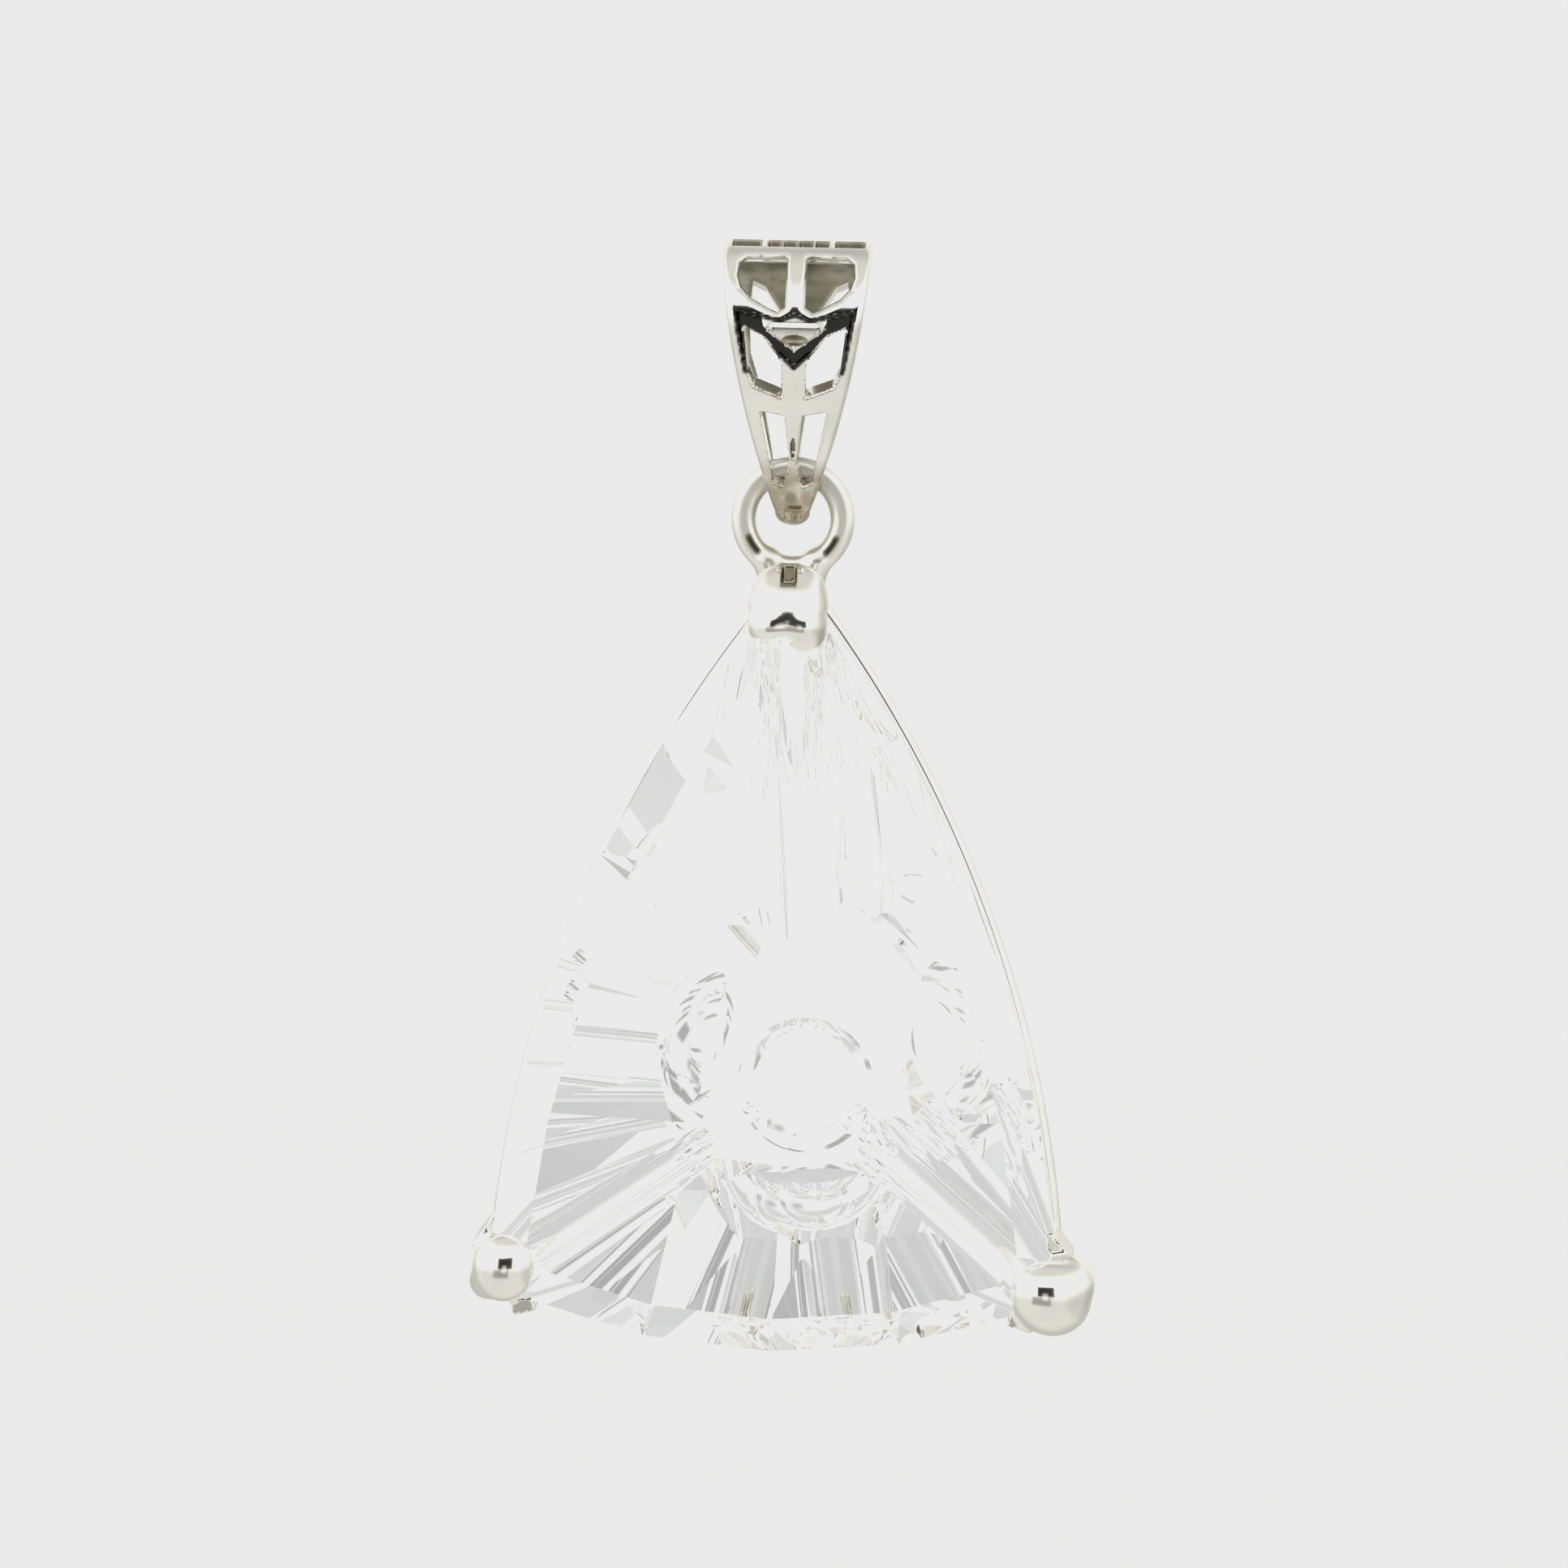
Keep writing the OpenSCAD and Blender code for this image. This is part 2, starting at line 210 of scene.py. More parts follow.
plain = put(world_tree, "ShaderNodeBackground", Color=(1, 1, 1, 1), Strength=1.15)
mixed = put(world_tree, "ShaderNodeMixShader", i0=seen, i1=light.outputs[0], i2=plain.outputs[0])
put(world_tree, "ShaderNodeOutputWorld", Surface=mixed.outputs[0])

scene = bpy.context.scene
scene.view_settings.view_transform = "Standard"
# Whites stop at the level of the white paper
scene.view_settings.use_curve_mapping = True
film = scene.view_settings.curve_mapping
film.extend = "HORIZONTAL"
film.curves[3].points[1].location = (1, 0.83)
film.curves[3].points.new(0.825, 0.825)
film.curves[3].points.new(0.86, 0.83)
for point in film.curves[3].points:
    point.handle_type = "VECTOR"
film.update()
scene.cycles.max_bounces = 32
scene.cycles.transmission_bounces = 32
scene.cycles.glossy_bounces = 12
scene.cycles.use_denoising = True

# The bail is a loop of cast silver, polished bright, wide at the top and tapering to a small
# round heel. Its front is pierced like a mask: two eyes, a brow over a deep scoop with a
# small boss in it, two cheeks, two long windows for a chin, and a short slit between them.
bail_w, loop_r, bail_wall, bail_drop = 4.7, 1.75, 0.7, 8.07
tip_r, heel_r, edge_bulge, rim_w = 0.54, 1.15, 0.36, 0.3
ring_r, ring_wire, ring_play = 1.52, 0.76, 0.1
loop_z, loop_out = -loop_r, loop_r + bail_wall
heel_z, tip_z = heel_r - bail_drop, tip_r - bail_drop
pivot_z, seat_r = -6.25, ring_wire / 2 + ring_play
ring_in = ring_r - ring_wire / 2
saddle_w = 0.92 * ring_in
# Outlines in X and Z, each for the right half: the left half is its mirror image
eye = (
    (0.36, 0.06), (1.52, 0.03), (1.66, -0.08), (1.68, -0.46), (1.58, -0.76), (1.33, -1.04),
    (0.8, -1.34), (0.54, -1.45), (0.36, -1.32)
)
cheek = ((1.5, -2.2), (0.98, -2.42), (0.42, -3.05), (0.4, -4.02), (1.16, -3.72), (1.36, -3.3))
cheek_round = 0.04
chin = ((0.98, -4.55), (0.3, -4.66), (0.13, -6.1), (0.34, -6.72), (0.56, -6.6))
nape = (
    (1.46, -0.68), (1.1, -0.85), (0.6, -1.62), (0.2, -2.6),
    (0.16, -4.1), (1.16, -3.9), (1.5, -2.9), (1.58, -1.6)
)
scoop = (
    (-0.1, -1.6), (0, -1.6), (0.44, -1.76), (2.1, -1.42), (1.9, -3.3),
    (0.9, -3.3), (0.42, -2.78), (0, -3.18), (-0.1, -3.18)
)
boss = ((-0.1, -2.06), (0.78, -2.06), (0, -2.62), (-0.1, -2.58))
boss_dip_z, boss_dip_w, boss_dip_h = -2.36, 0.42, 0.17
slit_z, slit_w, slit_h = -5.6, 0.07, 0.3
# The small openings along the top: how far each is off the middle, and its width
arcade = ((0.24, 0.4), (0.72, 0.38), (1.56, 0.86))
arcade_y, arcade_half = -0.6, 0.4
# The loop's back is this much narrower on each side than its front
back_taper = 0.32
# The scoop under the brow is nearly upright, and runs out where it meets the sloping front
scoop_z, scoop_lean, front_lean = -3.2, 0.07, 0.26
front_y = -2.165
bridge_slope, bridge_z = 0.55, -2.05
boss_sink, boss_dip = 0.04, 0.18


def arc_circle(a, b, bulge):
    """Centre, radius and half angle of the arc from a to b that bulges to its left."""
    way = b - a
    length = np.hypot(*way)
    radius = (length * length / 4 + bulge * bulge) / (2 * bulge)
    left = np.array((-way[1], way[0])) / length
    return (a + b) / 2 + left * (bulge - radius), radius, math.asin(length / 2 / radius)


# The bail's sides are long arcs that run down from above the loop to the small round tip
edge_top = np.array((bail_w / 2, loop_out + loop_z + bail_wall))
edge_centre, edge_r, _ = arc_circle(edge_top, np.array((tip_r, tip_z)), edge_bulge)


def soft_max(a, b, blend):
    """The greater of two fields, with the edge between them rounded."""
    return np.maximum(a, b) + np.maximum(blend - abs(a - b), 0) ** 2 / (4 * blend)


def soft_min(a, b, blend):
    """The lesser of two fields, with the corner between them filled in a round."""
    return -soft_max(-a, -b, blend)


def rise_from(value, start, end):
    """0 below start, 1 above end, smooth between them."""
    t = np.clip((value - start) / (end - start), 0, 1)
    return t * t * (3 - 2 * t)


def loop_field(y, z, top_r, top_z, low_r, low_z):
    """Distance to a big circle over a small one and their tangents, seen from the side."""
    height = top_z - low_z
    lean = (low_r - top_r) / height
    level = math.sqrt(1 - lean * lean)
    y = abs(y)
    up = z - low_z
    place = level * up - lean * y
    flank = level * y + lean * up - low_r
    low = np.hypot(y, up) - low_r
    top = np.hypot(y, z - top_z) - top_r
    return np.where(place < 0, low, np.where(place > level * height, top, flank))


def polygon_field(x, z, points):
    """Distance to a polygon's edge, negative inside it."""
    near = np.full(np.broadcast(x, z).shape, 1e6)
    inside = np.zeros(near.shape, bool)
    for (ax, az), (bx, bz) in zip(points, points[1:] + points[:1]):
        wide, tall = bx - ax, bz - az
        t = np.clip(((x - ax) * wide + (z - az) * tall) / (wide * wide + tall * tall), 0, 1)
        near = np.minimum(near, (x - ax - t * wide) ** 2 + (z - az - t * tall) ** 2)
        inside ^= ((az > z) != (bz > z)) & (x < ax + (z - az) * wide / (tall or 1))
    return np.sqrt(near) * np.where(inside, -1, 1)


def bail_hollow(x, y, z):
    """The loop's inside: round at the top, and at the heel a saddle for the ring's wire."""
    hollow = loop_field(y, z, loop_r, loop_z, seat_r, pivot_z)
    throat = ring_r + ring_play - np.sqrt(ring_in ** 2 - np.minimum(abs(x), saddle_w) ** 2)
    return soft_min(hollow, np.hypot(y, z - pivot_z) - throat, 0.1)


def arcade_field(x, y, z):
    """The small openings in a row along the loop's top."""
    deep = abs(y - arcade_y) - arcade_half
    slots = [soft_max(abs(abs(x) - place) - width / 2, deep, 0.08) for place, width in arcade]
    return soft_max(np.minimum.reduce(slots), -z, 0.05)


def oval(x, z, centre_z, half_w, half_h):
    """1 on the edge of an upright oval on the bail's middle line, less inside it."""
    return np.sqrt((x / half_w) ** 2 + ((z - centre_z) / half_h) ** 2)


def bail_unpolished_and_shaded(x, y, z):
    """Zero on the surfaces that a polishing wheel doesn't reach, which also get painted shade."""
    dip = np.maximum(oval(x, z, boss_dip_z, boss_dip_w, boss_dip_h) - 0.95, 0)
    slit = np.maximum(oval(x, z, slit_z, slit_w + 0.01, slit_h) - 1, 0)
    pits = np.where(y < -1.2, np.minimum(dip, slit), 1)
    return np.minimum.reduce((abs(bail_hollow(x, y, z)), abs(arcade_field(x, y, z)), pits))


def bail_edge(x, y, z):
    """Distance to the bail's tapering outline, as seen from the front."""
    return np.where(
        z > tip_z,
        np.hypot(x - edge_centre[0], z - edge_centre[1]) - edge_r,
        np.hypot(x, z - tip_z) - tip_r
    ) + back_taper * np.clip((y + 0.5) / (loop_out + 0.5), 0, 1)


def scoop_outline(x, y, z):
    """Negative in front of the scoop, zero at its side walls."""
    return soft_max(polygon_field(abs(x), z, scoop), bail_edge(abs(x), y, z) + rim_w, 0.03)


def bail_field(x, y, z):
    """Distance to the bail's surface, negative inside the silver."""
    x = abs(x)
    shell = loop_field(y, z, loop_out, loop_z, heel_r, heel_z)
    body = soft_max(soft_max(shell, bail_edge(x, y, z), 0.3), -bail_hollow(x, y, z), 0.12)
    # The eyes are cut straight back, and their edges are well rounded
    body = soft_max(body, -soft_max(polygon_field(x, z, eye) - 0.06, y, 0.05), 0.24)
    # The scoop, with a bridge from the brow to the boss, the boss's dimple and the slit
    front = front_y - front_lean * (z - scoop_z)
    floor = front_y + scoop_lean * (z - scoop_z)
    floor = floor - bridge_slope * np.clip(z - bridge_z, 0, 0.5) * rise_from(x, 1.0, 0.6)
    boss_top = front + boss_sink
    floor = boss_top + (floor - boss_top) * rise_from(polygon_field(x, z, boss), 0.0, 0.07)
    floor = floor + boss_dip * np.maximum(1 - oval(x, z, boss_dip_z, boss_dip_w, boss_dip_h) ** 2, 0)
    body = soft_max(body, -soft_max(scoop_outline(x, y, z), y - floor, 0.02), 0.05)
    slit = (oval(x, z, slit_z, slit_w, slit_h) - 1) * slit_w
    body = soft_max(body, -soft_max(slit, soft_max(y, -shell - 0.3, 0.02), 0.02), 0.04)
    # The windows below the eyes are cut square to the sloping wall
    slant = z + front_lean * shell
    cheek_hole = polygon_field(x, z + 0.4 * shell, cheek) - cheek_round
    body = soft_max(body, -soft_max(cheek_hole, y, 0.05), 0.08)
    body = soft_max(body, 0.03 - polygon_field(x, slant, chin), 0.09)
    body = soft_max(body, -soft_max(polygon_field(x, slant, nape), -y, 0.05), 0.09)
    return soft_max(body, -arcade_field(x, y, z), 0.07)


def unit_slope(field, points, reach):
    """The direction in which a field rises, with length 1."""
    shifts = np.eye(3) * reach
    rise = [field(*(points + s).T) - field(*(points - s).T) for s in shifts]
    slope = np.stack(rise, 1) / (2 * reach)
    return slope / np.maximum(np.linalg.norm(slope, axis=1, keepdims=True), 1e-6)


def crossing_spots(field, spots, axis, starts_inside, step):
    """Moves spots along their cell edges to where the surface crosses them, by halving."""
    for halving in range(1, 8):
        ahead = spots.copy()
        ahead[:, axis] += step / 2 ** halving
        same = (field(*ahead.T) < 0) == starts_inside
        spots[same] = ahead[same]
    return spots


def meeting_points(squares, pulls, middles):
    """Where the flats that touch the surface at a cell's crossings meet. A smooth surface has
    no such point along some directions, and there it stays level with the crossings' middle."""
    sizes, ways = np.linalg.eigh(squares)
    firm = sizes > 0.2 * sizes[:, -1:]
    pulls = pulls - (squares @ middles[..., None])[..., 0]
    moves = (np.swapaxes(ways, 1, 2) @ pulls[..., None])[..., 0] * firm / np.where(firm, sizes, 1)
    return middles + (ways @ moves[..., None])[..., 0]


def corner_normals(field, points, quads, reach):
    """A face corner on a sharp edge is lit by its own face, any other by the field's slope."""
    sharp = math.cos(math.radians(25))
    first, second, third, fourth = points[quads.T]
    flat = np.cross(third - first, fourth - second)
    flat /= np.maximum(np.linalg.norm(flat, axis=1, keepdims=True), 1e-12)
    flat = np.repeat(flat[:, None, :], 4, 1)
    normals = unit_slope(field, points, reach)[quads]
    return np.where((normals * flat).sum(2, keepdims=True) > sharp, normals, flat)


def skin(name, field, low, high, step, inner=None):
    """A mesh on the surface where a distance field is zero. Each cell that the surface crosses
    has one corner, placed so that sharp edges stay sharp. Faces on the inner field's surface
    get slot 1."""
    axes = [np.arange(start, end + step, step) for start, end in zip(low, high)]
    inside = field(*np.meshgrid(*axes, indexing="ij", sparse=True)) < 0
    # The surface crosses the cells that have some of their eight corners inside, but not all
    a, b, c = np.array(inside.shape) - 1
    filled = sum(
        inside[i:a + i, j:b + j, k:c + k].astype(int)
        for i in (0, 1) for j in (0, 1) for k in (0, 1)
    )
    crossed = (filled > 0) & (filled < 8)
    number = np.cumsum(crossed.ravel()).reshape(crossed.shape) - 1
    centres = np.array(low) + (np.argwhere(crossed) + 0.5) * step
    squares = np.zeros((len(centres), 3, 3))
    pulls = np.zeros((len(centres), 3))
    middles = np.zeros((len(centres), 3))
    hits = np.zeros((len(centres), 1))
    quads = []
    for axis, side, other in ((0, 1, 2), (1, 0, 2), (2, 0, 1)):
        # Each cell edge that the surface crosses gives a face between the four cells round it
        filled = np.moveaxis(inside, axis, 0)
        cell = np.moveaxis(number, axis, 0)
        starts_inside = filled[:-1, 1:-1, 1:-1]
        i, j, k = np.nonzero(starts_inside != filled[1:, 1:-1, 1:-1])
        starts_inside = starts_inside[i, j, k]
        quad = np.stack((cell[i, j, k], cell[i, j + 1, k], cell[i, j + 1, k + 1], cell[i, j, k + 1]), 1)
        spots = np.empty((len(i), 3))
        spots[:, side] = axes[side][j + 1]
        spots[:, other] = axes[other][k + 1]
        spots[:, axis] = axes[axis][i]
        spots = crossing_spots(field, spots, axis, starts_inside, step)
        slope = unit_slope(field, spots, step / 20)
        for corner in quad.T:
            np.add.at(squares, corner, slope[:, :, None] * slope[:, None, :])
            np.add.at(pulls, corner, slope * (slope * spots).sum(1, keepdims=True))
            np.add.at(middles, corner, spots)
            np.add.at(hits, corner, 1)
        flip = starts_inside == (axis == 1)
        quad[flip] = quad[flip][:, ::-1]
        quads.append(quad)
    quads = np.concatenate(quads)
    points = meeting_points(squares, pulls, middles / hits)
    points = centres + np.clip(points - centres, -step / 2, step / 2)
    mesh = bpy.data.meshes.new(name)
    mesh.from_pydata((points * MM).tolist(), [], quads.tolist())
    mesh.polygons.foreach_set("use_smooth", [True] * len(quads))
    if inner:
        on_inner = abs(inner(*points[quads].mean(1).T)) < 0.04
        mesh.polygons.foreach_set("material_index", on_inner.astype(int).tolist())
    normals = corner_normals(field, points, quads, step / 20)
    mesh.normals_split_custom_set(normals.reshape(-1, 3).tolist())
    return mesh


def silver(name, base, dull, roughness, rough_high, grain):
    """Silver whose tone and polish vary a little: base to dull, and two roughness values."""
    made = bpy.data.materials.new(name)
    made.use_nodes = True
    tree = made.node_tree
    shader = tree.nodes["Principled BSDF"]
    shader.inputs["Metallic"].default_value = 1
    place = put(tree, "ShaderNodeTexCoord").outputs["Object"]
    cloud = put(tree, "ShaderNodeTexNoise", Vector=place, Scale=900.0, Detail=4.0).outputs["Fac"]
    tone = put(tree, "ShaderNodeMixRGB", i0=ramp(tree, cloud, 0.4, 0.72), i1=(*base, 1), i2=(*dull, 1))
    tree.links.new(tone.outputs[0], shader.inputs["Base Color"])
    tree.links.new(ramp(tree, cloud, 0.35, 0.7, roughness, rough_high), shader.inputs["Roughness"])
    fine = put(tree, "ShaderNodeTexNoise", Vector=place, Scale=grain, Detail=3.0).outputs["Fac"]
    bump = put(tree, "ShaderNodeBump", Strength=0.25, Distance=0.00001, Height=fine)
    tree.links.new(bump.outputs[0], shader.inputs["Normal"])
    return made, tone


bail_silver, bail_tone = silver(
    "bright bail silver", (0.93, 0.92, 0.9), (0.85, 0.84, 0.82), 0.05, 0.1, 1500.0
)
# The heel has tarnished olive brown where the ring rubs on it
bail_tree = bail_silver.node_tree
bail_place = put(bail_tree, "ShaderNodeTexCoord").outputs["Object"]
up_in_mm = (0, 0, 1 / MM)
bail_height = along(bail_tree, bail_place, up_in_mm)
blotch = put(bail_tree, "ShaderNodeTexNoise", Vector=bail_place, Scale=1400.0, Detail=4.0).outputs["Fac"]
low_down = ramp(bail_tree, bail_height, -5.8, -6.7)
stain_and_shade = calc(bail_tree, "MULTIPLY", low_down, ramp(bail_tree, blotch, 0.25, 0.55))
stained_and_shaded = put(bail_tree, "ShaderNodeMixRGB", i0=stain_and_shade, i1=bail_tone.outputs[0], i2=(0.46, 0.42, 0.31, 1))
spot_at = Vector((-0.05, -1.2, -7.15)) * MM
spot_way = put(bail_tree, "ShaderNodeVectorMath", {"operation": "DISTANCE"}, i0=bail_place, i1=spot_at)
spot = ramp(bail_tree, spot_way.outputs["Value"], 0.27 * MM, 0.12 * MM)
stained_and_shaded = put(bail_tree, "ShaderNodeMixRGB", i0=spot, i1=stained_and_shaded.outputs[0], i2=(0.34, 0.31, 0.23, 1))
# Painted shade: the scoop's corners and the cheeks' upper edges are coloured near black
crevice_shade = put(bail_tree, "ShaderNodeAttribute", {"attribute_name": "painted_crevice_shade"}).outputs["Fac"]
stained_and_shaded = put(bail_tree, "ShaderNodeMixRGB", i0=crevice_shade, i1=stained_and_shaded.outputs[0], i2=(0.05, 0.05, 0.045, 1))
bail_tree.links.new(stained_and_shaded.outputs[0], bail_tree.nodes["Principled BSDF"].inputs["Base Color"])
# Rougher unpolished silver; its dark olive colour is also painted shade on the loop's inside, the arcade,
# the boss's dimple and the slit
shaded_inside_silver, _ = silver(
    "unpolished inside silver with painted shade", (0.46, 0.44, 0.36), (0.25, 0.24, 0.18), 0.28, 0.5, 900.0
)

bail_low, bail_high = (-2.6, -2.65, -8.25), (2.6, 2.65, 0.9)
bail_mesh = skin("mask bail", bail_field, bail_low, bail_high, 0.055, bail_unpolished_and_shaded)
bail_mesh.materials.append(bail_silver)
bail_mesh.materials.append(shaded_inside_silver)


def mark(mesh, name, amount):
    """Stores on each point of a mesh how much painted shade it carries."""
    spots = np.empty(len(mesh.vertices) * 3)
    mesh.vertices.foreach_get("co", spots)
    amounts = amount(*spots.reshape(-1, 3).T / MM)
    mesh.attributes.new(name, "FLOAT", "POINT").data.foreach_set("value", amounts)


def painted_crevice_shade(x, y, z):
    """Painted shade: near black in the scoop's corners and round the cheeks' upper edges."""
    wall = scoop_outline(x, y, z)
    cheek_edge = abs(polygon_field(abs(x), z, cheek) - cheek_round)
    near_wall = np.minimum(abs(wall), np.where(wall < 0, cheek_edge, 1))
    return rise_from(near_wall, 0.1, 0.06) * (y < -1.6)


mark(bail_mesh, "painted_crevice_shade", painted_crevice_shade)
mask_bail = new_object("mask_bail", bail_mesh)
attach(mask_bail, "bail")
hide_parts("bail")

# The quartz is colourless rock crystal, cut by hand to a curved-sided triangle: flats round
# its edge, a crown band to a flat table, and one steep pavilion plane under each flat.
# Three round grooves and a round dimple are ground into the pavilion and its small back.
stone_w, stone_h = 17.6, 22.1
side_bulge, base_bulge = 1.9, 1.9
side_flats, base_flats = 5, 4
# How much of the two sides each corner flat takes away, at the top and at the base
top_cut, low_cut = 2.0, 1.2
crown_h, girdle_t, pavilion_h = 0.8, 0.55, 7.8
# How far in the planes lean: the crown's over its height, each side's pavilion over its own
crown_in, right_in, base_in, left_in = 1.17, 4.0, 4.8, 5.6
top_z, table_y = -9.3, -3.1
girdle_y = table_y + crown_h
pavilion_y = girdle_y + girdle_t
back_y = pavilion_y + pavilion_h
dimple_r, dimple_h, dimple_x, dimple_z = 2.17, 1.2, 0.7, -25.85
base_z = top_z - stone_h
corners = [np.array(c) for c in ((0, top_z), (stone_w / 2, base_z), (-stone_w / 2, base_z))]


def arc_point(a, b, bulge, t):
    """A point in X and Z on the arc from a to b that bulges to the left of the way."""
    centre, radius, half = arc_circle(a, b, bulge)
    way = (b - a) / np.hypot(*(b - a))
    left = np.array((-way[1], way[0]))
    turn = (2 * t - 1) * half
    return centre + radius * math.cos(turn) * left + radius * math.sin(turn) * way


def arc_length(a, b, bulge):
    """The length of the same arc."""
    _, radius, half = arc_circle(a, b, bulge)
    return 2 * radius * half


stone_sides = [
    (corners[0], corners[1], side_bulge, side_flats, top_cut, low_cut, right_in, base_in),
    (corners[1], corners[2], base_bulge, base_flats, low_cut, low_cut, base_in, left_in),
    (corners[2], corners[0], side_bulge, side_flats, low_cut, top_cut, left_in, right_in)
]
outline, reaches = [], []
for a, b, bulge, flats, cut_a, cut_b, reach, next_reach in stone_sides:
    length = arc_length(a, b, bulge)
    start, end = cut_a / length, 1 - cut_b / length
    outline += [arc_point(a, b, bulge, start + (end - start) * i / flats) for i in range(flats + 1)]
    reaches += [reach] * flats + [(reach + next_reach) / 2]


def stone_planes():
    """The cut planes: the table, the back, then three for each flat of the outline. Each is
    an outward normal and its distance from the origin."""
    planes = [((0, -1, 0), -table_y), ((0, 1, 0), back_y)]
    for a, b, pavilion_in in zip(outline, outline[1:] + outline[:1], reaches):
        way = (b - a) / np.hypot(*(b - a))
        out = np.array((-way[1], way[0]))
        edge_flat = (0, 1, girdle_y)
        crown_cut = (-crown_in, crown_h, girdle_y)
        pavilion_cut = (pavilion_in, pavilion_h, pavilion_y)
        for rise, run, y in (edge_flat, crown_cut, pavilion_cut):
            normal = np.array((out[0] * run, rise, out[1] * run))
            normal /= np.linalg.norm(normal)
            planes.append((normal, float(normal @ (a[0], y, a[1]))))
    return planes


def plane_corners(planes):
    """The corners of the solid that the planes enclose."""
    normals = np.array([p[0] for p in planes], float)
    offsets = np.array([p[1] for p in planes], float)
    count = len(planes)
    i, j, k = (m.ravel() for m in np.meshgrid(*[np.arange(count)] * 3, indexing="ij"))
    keep = (i < j) & (j < k)
    trio = np.stack((i[keep], j[keep], k[keep]), 1)
    sets = normals[trio]
    solid = abs(np.linalg.det(sets)) > 1e-6
    points = np.linalg.solve(sets[solid], offsets[trio[solid]][..., None])[..., 0]
    inside = (points @ normals.T - offsets).max(1) < 1e-6
    return np.unique(points[inside].round(6), axis=0)


stone_points = bpy.data.meshes.new("stone corners")
stone_points.from_pydata((plane_corners(stone_planes()) * MM).tolist(), [], [])


def crystal(name, roughness, grind):
    """Clear quartz with a very faint unevenness left by polishing."""
    made = bpy.data.materials.new(name)
    made.use_nodes = True
    tree = made.node_tree
    shader = tree.nodes["Principled BSDF"]
    shader.inputs["Roughness"].default_value = roughness
    shader.inputs["IOR"].default_value = 1.544
    shader.inputs["Transmission Weight"].default_value = 1
    place = put(tree, "ShaderNodeTexCoord").outputs["Object"]
    veil = put(tree, "ShaderNodeTexNoise", Vector=place, Scale=260.0, Detail=3.0)
    haze = ramp(tree, veil.outputs["Fac"], 0.45, 0.7)
    tint = put(tree, "ShaderNodeMixRGB", i0=haze, i1=(1, 1, 1, 1), i2=(0.975, 0.985, 0.97, 1))
    tree.links.new(tint.outputs[0], shader.inputs["Base Color"])
    wave = put(tree, "ShaderNodeTexNoise", Vector=place, Scale=grind, Detail=2.0)
    bump = put(tree, "ShaderNodeBump", Strength=0.01, Distance=0.000002, Height=wave.outputs["Fac"])
    tree.links.new(bump.outputs[0], shader.inputs["Normal"])
    return made


facet_quartz = crystal("faceted quartz", 0.0, 500.0)
ground_quartz = crystal("ground quartz", 0.0, 1800.0)

cut = bpy.data.node_groups.new("grind grooves and dimple", "GeometryNodeTree")
cut.interface.new_socket("Geometry", in_out="INPUT", socket_type="NodeSocketGeometry")
cut_inputs = {"Dimple radius": dimple_r, "Dimple depth": dimple_h, "Back": back_y, "Dimple height": dimple_z}
for name, value in cut_inputs.items():
    cut.interface.new_socket(name, in_out="INPUT", socket_type="NodeSocketFloat").default_value = value
cut.interface.new_socket("Geometry", in_out="OUTPUT", socket_type="NodeSocketGeometry")
cut_in = cut.nodes.new("NodeGroupInput")
cut_out = cut.nodes.new("NodeGroupOutput")
blank = put(cut, "GeometryNodeConvexHull", i0=cut_in.outputs["Geometry"])
blank = put(cut, "GeometryNodeSetMaterial", i0=blank.outputs[0], Material=facet_quartz)
tools = put(cut, "GeometryNodeJoinGeometry")
radius = cut_in.outputs["Dimple radius"]
depth = cut_in.outputs["Dimple depth"]
squares = calc(cut, "ADD", calc(cut, "MULTIPLY", radius, radius), calc(cut, "MULTIPLY", depth, depth))
ball_r = calc(cut, "DIVIDE", squares, calc(cut, "MULTIPLY", depth, 2.0))
ball = put(cut, "GeometryNodeMeshIcoSphere", Radius=calc(cut, "MULTIPLY", ball_r, MM), Subdivisions=6)
ball_y = calc(cut, "ADD", calc(cut, "SUBTRACT", cut_in.outputs["Back"], depth), ball_r)
ball_z = cut_in.outputs["Dimple height"]
ball_at = put(
    cut, "ShaderNodeCombineXYZ", i0=dimple_x * MM,
    i1=calc(cut, "MULTIPLY", ball_y, MM), i2=calc(cut, "MULTIPLY", ball_z, MM)
)
ball = put(cut, "GeometryNodeTransform", Geometry=ball.outputs["Mesh"], Translation=ball_at.outputs[0])
cut.links.new(ball.outputs[0], tools.inputs[0])
# Each groove: its corner, its radius, where its floor starts on the way to the dimple, the
# floor's depth there behind the girdle, and where the floor meets the back
grooves = ((0, 1.6, 3.3, 1.35, 12.0), (1, 1.0, 2.3, 1.45, 7.6), (2, 1.0, 2.3, 1.45, 7.6))
for corner, groove_r, start, sunk, end in grooves:
    way = np.array((dimple_x, dimple_z)) - corners[corner]
    way /= np.hypot(*way)
    first_x, first_z = corners[corner] + way * start
    last_x, last_z = corners[corner] + way * end
    first = np.array((first_x, pavilion_y + sunk, first_z))
    last = np.array((last_x, back_y, last_z))
    run = Vector(last - first).normalized()
    lift = Vector((0, 1, 0)) - run * run.y
    middle = (Vector(first) + Vector(last)) / 2 + lift.normalized() * groove_r
    wheel = put(cut, "GeometryNodeMeshCylinder", Vertices=160, Radius=groove_r * MM, Depth=0.06)
    turned = put(
        cut, "GeometryNodeTransform", Geometry=wheel.outputs["Mesh"],
        Translation=middle * MM, Rotation=run.to_track_quat("Z", "Y").to_euler()
    )
    cut.links.new(turned.outputs[0], tools.inputs[0])
tools = put(cut, "GeometryNodeSetMaterial", i0=tools.outputs[0], Material=ground_quartz)
exact = {"operation": "DIFFERENCE", "solver": "EXACT"}
ground = put(cut, "GeometryNodeMeshBoolean", exact, i0=blank.outputs[0])
cut.links.new(tools.outputs[0], ground.inputs["Mesh 2"])
whole = put(cut, "GeometryNodeRealizeInstances", i0=ground.outputs["Mesh"])
cut.links.new(whole.outputs[0], cut_out.inputs[0])


